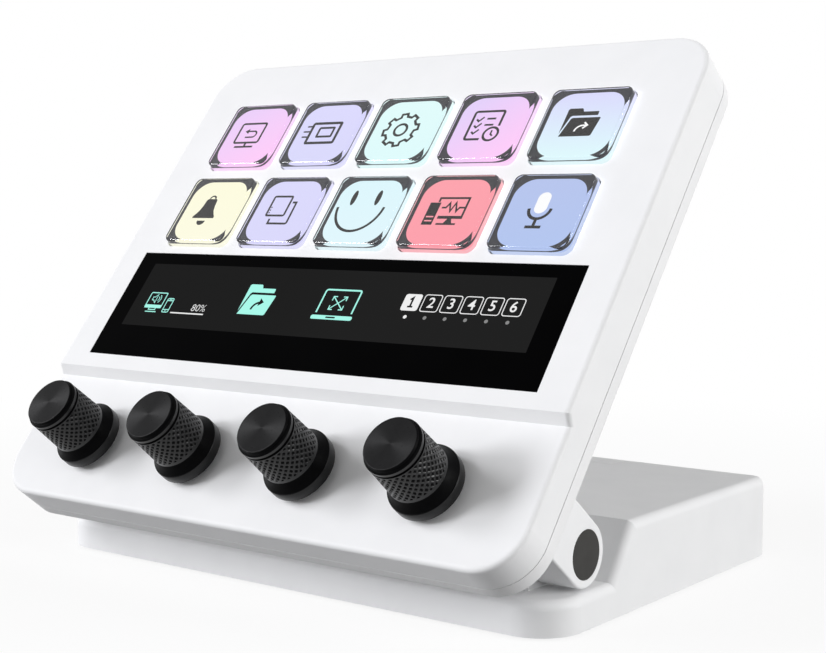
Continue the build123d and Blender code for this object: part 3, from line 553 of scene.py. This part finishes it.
for number in KEYS:
    low, high = in_head(f"key_cap_{number}")
    centre = middle((low, high))
    width, height = high.x - low.x, high.y - low.y
    level = high.z - picture_depth
    share = (level - low.z) / (high.z - low.z)
    narrow = 2 * share * cap_taper * (high.z - low.z)
    body = f"key_{number}"

    # The mask's narrow lines by the picture's right and lower sides are the display's black border; its
    # wide bands along the cap's left and upper sides and the wedge in the lower right corner are
    # painted shade, for the cap's walls seen dark through the clear block.
    mask = Sheet(ink=film)
    window = rounded(0, 0, picture_width, picture_height, picture_corner, corner_steps)
    left = -(width - narrow) / 2 + mask_margin
    top = (height - narrow) / 2 - mask_margin
    right = picture_width / 2 + mask_right_line
    bottom = -picture_height / 2 - mask_low_line
    radii = (mask_nib, cap_corner, mask_nib, mask_shade_corner)
    mask.plate(uneven(left, right, bottom, top, radii, corner_steps), window)
    place = HEAD @ Matrix.Translation(Vector((centre.x, centre.y, level)) * MM)
    mask.done(f"key_{number}_mask", mask_and_shade_black, body, "black_plastic", place)

    first, second, way, drawings = key_pictures[number]
    sheet = Sheet(ink=film - film_step)
    glow_width = width - narrow - 2 * glow_margin
    glow_height = height - narrow - 2 * glow_margin
    glow_outline = rounded(0, 0, glow_width, glow_height, cap_corner, corner_steps)
    sheet.plate(glow_outline)
    lit = picture(f"picture_{number}", first, second, way)
    sheet.done(f"key_{number}_picture", lit, body, "display", place)

    # Pale glowing slab under the picture, painted light: its glow stands in for the picture's colour
    # reflected in the cap's side walls.
    glow_slab = Sheet(ink=level - glow_gap - low.z - glow_floor)
    glow_slab.plate(glow_outline)
    lit = picture(f"wall_glow_{number}", pale(first), pale(second), way)
    below = HEAD @ Matrix.Translation(Vector((centre.x, centre.y, low.z + glow_floor)) * MM)
    glow_slab.done(f"key_{number}_wall_glow", lit, body, "clear_plastic", below)

    above = HEAD @ Matrix.Translation(Vector((centre.x, centre.y, level + film)) * MM)
    for part, (draw, ink) in enumerate(drawings, start=1):
        sheet = Sheet() if part == 1 else upper_sheet()
        draw(sheet)
        sheet.done(f"key_{number}_sign_{part}", ink, body, "display", above)


# ------------------------------------------------------------- the touch strip
glass_top = in_head("screen_glass")[1].z
panel_low, panel_high = in_head("lcd_panel")
panel_frame = 4.6          # border of the panel that isn't lit
strip_trim = 0.7           # grey part narrower than the panel's lit area
strip_low = 42.4
strip_high = 59.2
strip_width = panel_high.x - panel_low.x - 2 * panel_frame - strip_trim
strip_middle = -0.3
strip_gap = 0.002          # grey part above the glass
ink_gap = 0.01             # drawings above the glass
strip_place = HEAD @ Matrix.Translation(Vector((0, 0, glass_top + strip_gap)) * MM)
ink_place = HEAD @ Matrix.Translation(Vector((0, 0, glass_top + ink_gap)) * MM)

strip_grey = picture("strip_grey", srgb(26, 26, 26), srgb(28, 28, 28), (1, 0))
teal = picture("teal", srgb(170, 251, 236))
number_white = picture("number_white", srgb(242, 242, 242))
dot_grey = picture("dot_grey", srgb(138, 138, 138))

strip = Sheet()
strip_centre = (strip_low + strip_high) / 2
strip.plate(rounded(strip_middle, strip_centre, strip_width, strip_high - strip_low, 0.1, 2))
strip.done("strip_picture", strip_grey, "head", "display", strip_place)


def strip_monitor(sheet):
    sheet.line(rounded(-47.25, 49.3, 5.05, 3.95, 0.25, 3), 0.26, closed=True)
    sheet.plate([(-49.8, 47.2), (-44.7, 47.2), (-44.7, 48.05), (-49.8, 48.05)])
    sheet.line([(-48.2, 47.2), (-48.2, 46.75), (-46.2, 46.75), (-46.2, 47.2)], 0.24)
    sheet.line([(-48.9, 46.2), (-45.5, 46.2)], 0.24)
    speaker = [(-48.6, 49.3), (-48.6, 50.1), (-48.1, 50.1), (-47.4, 50.8), (-47.4, 48.6),
               (-48.1, 49.3)]
    sheet.line(speaker, 0.18, closed=True)
    for radius in (0.65, 1.2):
        sheet.line(arc(-47.2, 49.7, radius, -55, 55, 8), 0.18)


def strip_phone(sheet):
    sheet.line(rounded(-42.8, 48.1, 1.85, 3.65, 0.3, 3), 0.22, closed=True)
    sheet.line([(-43.7, 49.35), (-41.9, 49.35)], 0.22)
    sheet.line([(-43.7, 46.95), (-41.9, 46.95)], 0.22)
    sheet.line([(-43.2, 49.65), (-42.4, 49.65)], 0.16)
    sheet.plate(circle(-42.8, 46.6, 0.16, 10))


def strip_folder(sheet):
    folder_body(sheet, -17.1, 50.3, 1.05)


def strip_laptop(sheet):
    x, y = 4.6, 51.0
    top = [*arc(0.55, 53.75, 0.5, 180, 90, 4), *arc(8.85, 53.75, 0.5, 90, 0, 4)]
    sheet.line([(0.05, 48.55), *top, (9.35, 48.55)], 0.4)
    sheet.plate(rounded(4.62, 47.43, 10.8, 1.0, 0.42, 4))
    for side in (-1, 1):
        for end in (-1, 1):
            tip = (x + 1.8 * side, y + 1.6 * end)
            sheet.line([(x, y), tip], 0.24)
            sheet.line([(tip[0] - 1.0 * side, tip[1]), tip, (tip[0], tip[1] - 1.0 * end)], 0.24)


def level_bar(sheet):
    sheet.plate([(-40.9, 46.1), (-30.85, 46.1), (-30.85, 46.42), (-40.9, 46.42)])


for name, draw, ink in (
    ("strip_monitor", strip_monitor, teal),
    ("strip_phone", strip_phone, teal),
    ("strip_folder", strip_folder, teal),
    ("strip_laptop", strip_laptop, teal),
    ("level_bar", level_bar, number_white),
):
    sheet = Sheet()
    draw(sheet)
    sheet.done(name, ink, "head", "display", ink_place)

marks = upper_sheet()
folder_arrow(marks, -17.1, 50.3, 1.05)
marks.count = 1
marks.plate(rounded(4.4, 47.45, 2.5, 0.36, 0.15, 3))
marks.done("strip_dark_marks", strip_grey, "head", "display", ink_place)

page_start = 22.8
page_pitch = 4.78
page_level = 52.1
page_width = 4.1
page_height = 3.95
page_corner = 0.55
page_line = 0.2
page_figure = 3.4
dot_drop = 3.45            # dots below their pages' middles
dot_radius = 0.42
figure_rise = 0.01


def figure_one(sheet, x, y):
    sheet.line(moved([(-0.55, 0.62), (0.05, 1.1), (0.05, -1.05)], x, y), 0.46)
    sheet.plate(moved([(-0.6, -1.25), (0.7, -1.25), (0.7, -0.85), (-0.6, -0.85)], x, y))


def figure(name, text, x, y, size, weight=0.01):
    """Plain figures as a thin closed mesh, set upright at a place on the strip."""
    curve = bpy.data.curves.new(name, "FONT")
    curve.body = text
    curve.size = size
    curve.extrude = Sheet.ink / 2
    curve.offset = weight * size
    curve.align_x = "CENTER"
    curve.align_y = "CENTER"
    holder = bpy.data.objects.new(name + "_outline", curve)
    bpy.context.scene.collection.objects.link(holder)
    bpy.context.view_layer.update()
    evaluated = holder.evaluated_get(bpy.context.evaluated_depsgraph_get())
    mesh = bpy.data.meshes.new_from_object(evaluated)
    bpy.data.objects.remove(holder)
    mesh.materials.clear()
    mesh.name = name
    place = ink_place @ Matrix.Translation(Vector((x, y, figure_rise)) * MM)
    return add(name, mesh, number_white, "head", place)


for page in range(6):
    x = page_start + page * page_pitch
    chosen = page == 0
    box = Sheet()
    outline = rounded(x, page_level, page_width, page_height, page_corner, 4)
    if chosen:
        box.plate(outline)
    else:
        box.line(outline, page_line, closed=True)
    box.done(f"page_{page + 1}_box", number_white, "head", "display", ink_place)
    if chosen:
        one = upper_sheet()
        figure_one(one, x, page_level)
        one.done(f"page_{page + 1}_figure", strip_grey, "head", "display", ink_place)
    else:
        figure(f"page_{page + 1}_figure", str(page + 1), x, page_level, page_figure)
    dot = Sheet()
    dot.plate(circle(x, page_level - dot_drop, dot_radius, 20))
    dot_ink = number_white if chosen else dot_grey
    dot.done(f"page_{page + 1}_dot", dot_ink, "head", "display", ink_place)

figure("level_figure", "80%", -33.1, 47.75, 2.6, weight=-0.012)


# ------------------------------------------------------------------ the knobs
float_height = 1.5         # these are heights above the knob deck
skirt_top = 3.7
hollow_top = 4.5
grip_start = 5.8
knurl_start = 6.5
knurl_end = 13.2
groove_low = 13.5
groove_high = 14.0
shoulder = 15.0

hollow_radius = 5.6
skirt_radius = 7.3
grip_low_radius = 6.0
grip_high_radius = 5.75

skirt_round = 0.25         # of its lower edge
skirt_round_middle = 0.07  # the round's middle point, in from both sides
skirt_top_round = 0.2
flare_sag = 0.08
groove_depth = 0.25
groove_chamfer = 0.05
crown_chamfer = 0.37
crown_flat = 0.38          # crown's flat top inside its side
crown_ease = 0.04          # softens the chamfer's two corners
crown_ease_run = 0.31
disc_round = 0.15
disc_round_middle = 0.045

knob_segments = 336
disc_segments = 120
flare_steps = 10
grip_steps = 66
knurl_columns = 56
knurl_pitch = 1.45         # along the axis
knurl_depth = 0.17
knurl_ridge = 0.14         # half a ridge's width, as a share of the lozenges' pitch
knurl_slope = 6            # how steeply a lozenge's sides fall

dent_share = 0.4           # a face this far into a lozenge's depth counts as its floor
crown_slack = 0.02         # a face this close to the full radius counts as the side
skirt_slack = 0.1
disc_slack = 0.01


def anodised(name, low, high, roughness, gloss, spread=0.05):
    """Anodised black metal: a fine mottle, uneven gloss and a blasted skin."""
    made = material(name, IOR=1.5, Specular_IOR_Level=gloss)
    link(made, ramp(made, noise(made, 1.2, 4.0), low, high), shader_of(made).inputs["Base Color"])
    uneven_gloss = ramp(made, noise(made, 0.5, 4.0), roughness - spread, roughness + spread)
    link(made, uneven_gloss, shader_of(made).inputs["Roughness"])
    bump(made, noise(made, 0.12, 2.0), 0.002)
    return made


# One anodised finish in several settings; this one is made near black and dull, painted shade standing
# in for the dark that the glossy flare, groove and chamfers mirror
knob_shade_black = anodised("knob_shade_black", (0.001, 0.001, 0.0012), (0.002, 0.002, 0.0023), 0.45, 0.03)
knob_grip = anodised("knob_grip", (0.004, 0.004, 0.0043), (0.007, 0.007, 0.0074), 0.32, 0.42)
knob_skirt = anodised("knob_skirt", (0.004, 0.004, 0.0042), (0.007, 0.007, 0.0073), 0.34, 0.26)
# Darker, duller floors of the knurl's lozenges: painted shade in the recesses
knob_dent_shade = anodised("knob_dent_shade", (0.002, 0.002, 0.0022), (0.0035, 0.0035, 0.0038), 0.55, 0.05)


def spun():
    """Spun black disc: fine rings that draw the gloss out across them."""
    made = anodised("disc_black", (0.0065, 0.0065, 0.007), (0.009, 0.009, 0.0096), 0.32, 0.09)
    shader_of(made).inputs["Anisotropic"].default_value = 0.8
    around = node(made, "ShaderNodeTangent", direction_type="RADIAL", axis="Z")
    link(made, around.outputs[0], shader_of(made).inputs["Tangent"])
    return made


disc_black = spun()


def dent(angle, height):
    """Depth of the knurl's lozenges, between two sets of helical ridges, at a place."""
    if not knurl_start < height < knurl_end:
        return 0.0
    aside = angle / (2 * pi) * knurl_columns / 2
    along = height / knurl_pitch
    edges = [abs(turns - round(turns)) for turns in (aside + along, aside - along)]
    inside = 0.5 - knurl_ridge - max(edges)
    return knurl_depth * min(max(inside, 0.0) * knurl_slope, 1.0)


def turned(name, rows, segments, hollow=None):
    """Mesh turned about z through rows of radius and height, with dents where asked for."""
    shape = bmesh.new()
    rings = []
    for radius, height in rows:
        if radius == 0:
            rings.append([shape.verts.new((0, 0, height))])
            continue
        ring = []
        for n in range(segments):
            angle = 2 * pi * n / segments
            reach = radius - (hollow(angle, height) if hollow else 0.0)
            ring.append(shape.verts.new((reach * cos(angle), reach * sin(angle), height)))
        rings.append(ring)
    for low, high in zip(rings, rings[1:]):
        for n in range(segments):
            m = (n + 1) % segments
            corners = [low[n % len(low)], low[m % len(low)], high[m % len(high)], high[n % len(high)]]
            unique = list(dict.fromkeys(corners))
            if len(unique) > 2:
                shape.faces.new(unique)
    bmesh.ops.recalc_face_normals(shape, faces=shape.faces)
    mesh = bpy.data.meshes.new(name)
    shape.to_mesh(mesh)
    shape.free()
    return mesh


def knob_rows():
    """Lower hollow, skirt, flare, knurled grip, groove and crown, up to the shoulder."""
    rows = [(0, hollow_top), (hollow_radius, hollow_top), (hollow_radius, float_height)]
    rows.append((skirt_radius - skirt_round, float_height))
    rows.append((skirt_radius - skirt_round_middle, float_height + skirt_round_middle))
    rows += [(skirt_radius, float_height + skirt_round), (skirt_radius, skirt_top - skirt_top_round)]
    rows += [(skirt_radius - 0.06, skirt_top - 0.05), (skirt_radius - skirt_top_round, skirt_top)]
    for n in range(1, flare_steps + 1):
        share = n / flare_steps
        radius = grip_low_radius + (skirt_radius - skirt_top_round - grip_low_radius) * (1 - share)
        sag = flare_sag * sin(pi * share)
        rows.append((radius - sag, skirt_top + (grip_start - skirt_top) * share - sag / 2))
    for n in range(1, grip_steps + 1):
        share = n / grip_steps
        radius = grip_low_radius + (grip_high_radius - grip_low_radius) * share
        rows.append((radius, grip_start + (groove_low - grip_start) * share))
    inner = grip_high_radius - groove_depth
    rows += [(inner, groove_low), (inner, groove_high)]
    rows.append((grip_high_radius - groove_chamfer, groove_high))
    rows.append((grip_high_radius, groove_high + groove_chamfer))
    rows.append((grip_high_radius, shoulder - crown_chamfer))
    rows.append((grip_high_radius - crown_ease, shoulder - crown_ease_run))
    rows.append((grip_high_radius - crown_ease_run, shoulder - crown_ease))
    rows += [(grip_high_radius - crown_flat, shoulder), (0, shoulder)]
    return rows


def disc_rows(radius, thickness):
    """Flat disc whose top has fine turned rings."""
    rings = 30
    groove = 0.006
    flat = radius - disc_round
    rows = [(0, 0), (radius, 0), (radius, thickness - disc_round)]
    rows += [(radius - disc_round_middle, thickness - disc_round_middle), (flat, thickness)]
    for n in range(1, rings):
        inner = flat * (1 - n / rings)
        rows.append((inner, thickness - (groove if n % 2 else 0.0)))
    rows.append((0, thickness))
    return rows


def knob_finish(spot):
    """Finish of a knob's face: 0 the body in near-black painted shade, 1 the grip, 2 a lozenge's floor
    in darker painted shade, 3 the skirt's side.
    """
    side = hypot(spot.x, spot.y)
    along = (spot.z - grip_start) / (groove_low - grip_start)
    surface = grip_low_radius + (grip_high_radius - grip_low_radius) * along
    if grip_start < spot.z < groove_low:
        return 2 if side < surface - knurl_depth * dent_share else 1
    if groove_high < spot.z < shoulder - crown_chamfer and side > grip_high_radius - crown_slack:
        return 1
    if float_height + skirt_round < spot.z < skirt_top and side > skirt_radius - skirt_slack:
        return 3
    return 0


for number in KNOBS:
    centre = middle(in_head(f"knob_{number}"))
    axis_place = HEAD @ Matrix.Translation(Vector((centre.x, centre.y, 0)) * MM)
    mesh = turned(f"knob_{number}_turned", knob_rows(), knob_segments, dent)
    knob = add(f"knob_{number}_turned", mesh, knob_shade_black, f"dial_{number}", axis_place,
               smooth=30, in_place=True)
    for finish in (knob_grip, knob_dent_shade, knob_skirt):
        knob.data.materials.append(finish)
    inverse = axis_place.inverted()
    for face in knob.data.polygons:
        face.material_index = knob_finish(inverse @ face.center / MM)
    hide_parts(f"knob_{number}")

    disc_low, disc_high = in_head(f"knob_disc_{number}")
    disc_place = HEAD @ Matrix.Translation(Vector((centre.x, centre.y, disc_low.z)) * MM)
    disc_radius = (disc_high.x - disc_low.x) / 2
    rows = disc_rows(disc_radius, disc_high.z - disc_low.z)
    mesh = turned(f"knob_{number}_disc", rows, disc_segments)
    disc = add(f"knob_{number}_disc", mesh, disc_black, f"dial_{number}", disc_place, smooth=30)
    disc.data.materials.append(knob_shade_black)
    # The disc's rounded rim takes the near-black body finish, a painted dark rim.
    flat_radius = (disc_radius - disc_round - disc_slack) * MM
    for face in disc.data.polygons:
        if hypot(face.center.x, face.center.y) > flat_radius:
            face.material_index = 1
    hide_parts(f"knob_disc_{number}")


# ------------------------------------------------- finishes of the CAD's pieces
finishes = {
    white_shell: ("front_shell", "base_shell", "rear_cover", "hinge_arm_left", "hinge_arm_right",
                  "hinge_block_left", "hinge_block_right"),
    white_textured: ("back_shell", "base_plate"),
    glass_black: ("screen_glass",),
    clear_plastic: tuple(f"key_cap_{n}" for n in KEYS),
    carrier_black: tuple(f"key_carrier_{n}" for n in KEYS),
    cap_dark: ("hinge_cap_left", "hinge_cap_right"),
    foot_rubber: ("rubber_feet",),
    silicone: ("key_membrane",),
    board_green: ("main_board",),
    panel_grey: ("lcd_panel",),
    plated_steel: ("usb_socket", "encoder_bodies", "encoder_nuts", "head_screws", "base_screws",
                   "hinge_pins", "ballast_plate", *(f"encoder_shaft_{n}" for n in KNOBS),
                   *(f"switch_plunger_{n}" for n in KNOBS)),
    turned_brass: ("friction_bushes",),
}
for finish, names in finishes.items():
    for name in names:
        cad[name].data.materials.clear()
        cad[name].data.materials.append(finish)


# ----------------------------------------------------------- floor and lighting
def white_to_eye(made, surface, share=None):
    """Mixes white light of strength 1 into a surface where it is looked at or mirrored.

    A share makes the white weaker from place to place; without one it is full.
    """
    path = node(made, "ShaderNodeLightPath")
    seen = node(made, "ShaderNodeMath", operation="MAXIMUM")
    mirrored = node(made, "ShaderNodeMath", operation="MAXIMUM")
    glow = node(made, "ShaderNodeEmission", Color=(1, 1, 1, 1), Strength=1.0)
    either = node(made, "ShaderNodeMixShader")
    link(made, path.outputs["Is Glossy Ray"], mirrored.inputs[0])
    link(made, path.outputs["Is Transmission Ray"], mirrored.inputs[1])
    link(made, path.outputs["Is Camera Ray"], seen.inputs[0])
    link(made, mirrored.outputs[0], seen.inputs[1])
    white = seen.outputs[0]
    if share is not None:
        amount = node(made, "ShaderNodeMath", operation="MULTIPLY")
        link(made, white, amount.inputs[0])
        link(made, share, amount.inputs[1])
        white = amount.outputs[0]
    link(made, white, either.inputs[0])
    link(made, surface, either.inputs[1])
    link(made, glow.outputs[0], either.inputs[2])
    return either.outputs[0]


def floor(reach=3.0, shadow=0.12, fade_start=0.1, fade_end=0.3, bounce=0.3, pale_tone=0.97):
    """Pale floor that keeps a faint shadow near the object and is plain white further out."""
    mesh = bpy.data.meshes.new("floor")
    corners = [(-reach, -reach, 0), (reach, -reach, 0), (reach, reach, 0), (-reach, reach, 0)]
    mesh.from_pydata(corners, [], [(0, 1, 2, 3)])
    made = material("floor_white", Roughness=0.9, Specular_IOR_Level=0.0)
    path = node(made, "ShaderNodeLightPath")
    tone = ramp(made, path.outputs["Is Camera Ray"], (bounce,) * 3, (pale_tone,) * 3, 0, 1)
    link(made, tone, shader_of(made).inputs["Base Color"])
    place = node(made, "ShaderNodeTexCoord")
    far = node(made, "ShaderNodeVectorMath", operation="LENGTH")
    share = node(made, "ShaderNodeMapRange", interpolation_type="SMOOTHSTEP")
    limits = {"From Min": fade_start, "From Max": fade_end, "To Min": 1 - shadow, "To Max": 1.0}
    for label, value in limits.items():
        share.inputs[label].default_value = value
    link(made, place.outputs["Object"], far.inputs[0])
    link(made, far.outputs["Value"], share.inputs["Value"])
    surface = white_to_eye(made, shader_of(made).outputs[0], share.outputs["Result"])
    link(made, surface, made.node_tree.nodes["Material Output"].inputs["Surface"])
    mesh.materials.append(made)
    plane = bpy.data.objects.new("floor", mesh)
    bpy.context.scene.collection.objects.link(plane)


def sky(lit):
    """Even light on the object, and plain white where it is looked at or mirrored."""
    world = bpy.data.worlds.new("studio")
    bpy.context.scene.world = world
    world.use_nodes = True
    light = world.node_tree.nodes["Background"]
    light.inputs["Color"].default_value = (1, 1, 1, 1)
    light.inputs["Strength"].default_value = lit
    surface = white_to_eye(world, light.outputs[0])
    link(world, surface, world.node_tree.nodes["World Output"].inputs["Surface"])


lamp_aim = 0.05            # metres above the floor


def lamp(name, direction, distance, size, level, tint=(1, 1, 1)):
    """Soft round lamp; level is the brightness it gives a white surface that faces it."""
    data = bpy.data.lights.new(name, "AREA")
    data.shape = "DISK"
    data.size = size
    data.energy = level * (pi * distance) ** 2
    data.color = tint
    made = bpy.data.objects.new(name, data)
    bpy.context.scene.collection.objects.link(made)
    towards = Vector(direction).normalized()
    made.location = Vector((0, 0, lamp_aim)) + towards * distance
    made.rotation_euler = towards.to_track_quat("Z", "Y").to_euler()


floor()
sky(lit=0.25)
cool = (0.98, 0.985, 1.015)                    # faint blue of the two key lamps
key_way = Vector((-0.65, -0.25, 0.7))          # these two in the head's axes
high_key_way = Vector((-0.65, 0.05, 0.75))
lamp("key_light", turn.to_3x3() @ key_way, distance=4.0, size=1.2, level=0.505, tint=cool)
lamp("high_key_light", turn.to_3x3() @ high_key_way, distance=4.0, size=1.2, level=0.31, tint=cool)
lamp("front_light", (-0.3, -0.85, 0.45), distance=0.8, size=0.5, level=0.12)
lamp("side_light", (0.9, 0.35, 0.25), distance=1.2, size=0.6, level=0.62)
lamp("side_front_light", (0.85, -0.45, 0.35), distance=0.8, size=0.4, level=0.14)


# ----------------------------------------------------------------- the camera
def camera(offset, forward, lens):
    """Camera at an offset in metres from the middle of the hinge's axis."""
    data = bpy.data.cameras.new("camera")
    data.sensor_fit = "HORIZONTAL"
    data.sensor_width = 36.0
    data.lens = lens
    data.clip_start = 0.01
    made = bpy.data.objects.new("camera", data)
    bpy.context.scene.collection.objects.link(made)
    made.location = Vector(joints["head_tilt"]["pos_m"]) + Vector(offset)
    made.rotation_euler = Vector(forward).to_track_quat("-Z", "Y").to_euler()
    bpy.context.scene.camera = made


camera(offset=(0.20241, -0.23194, 0.06300), forward=(-0.60593, 0.79136, -0.08121), lens=66.14)
bpy.context.scene.view_settings.view_transform = "Standard"
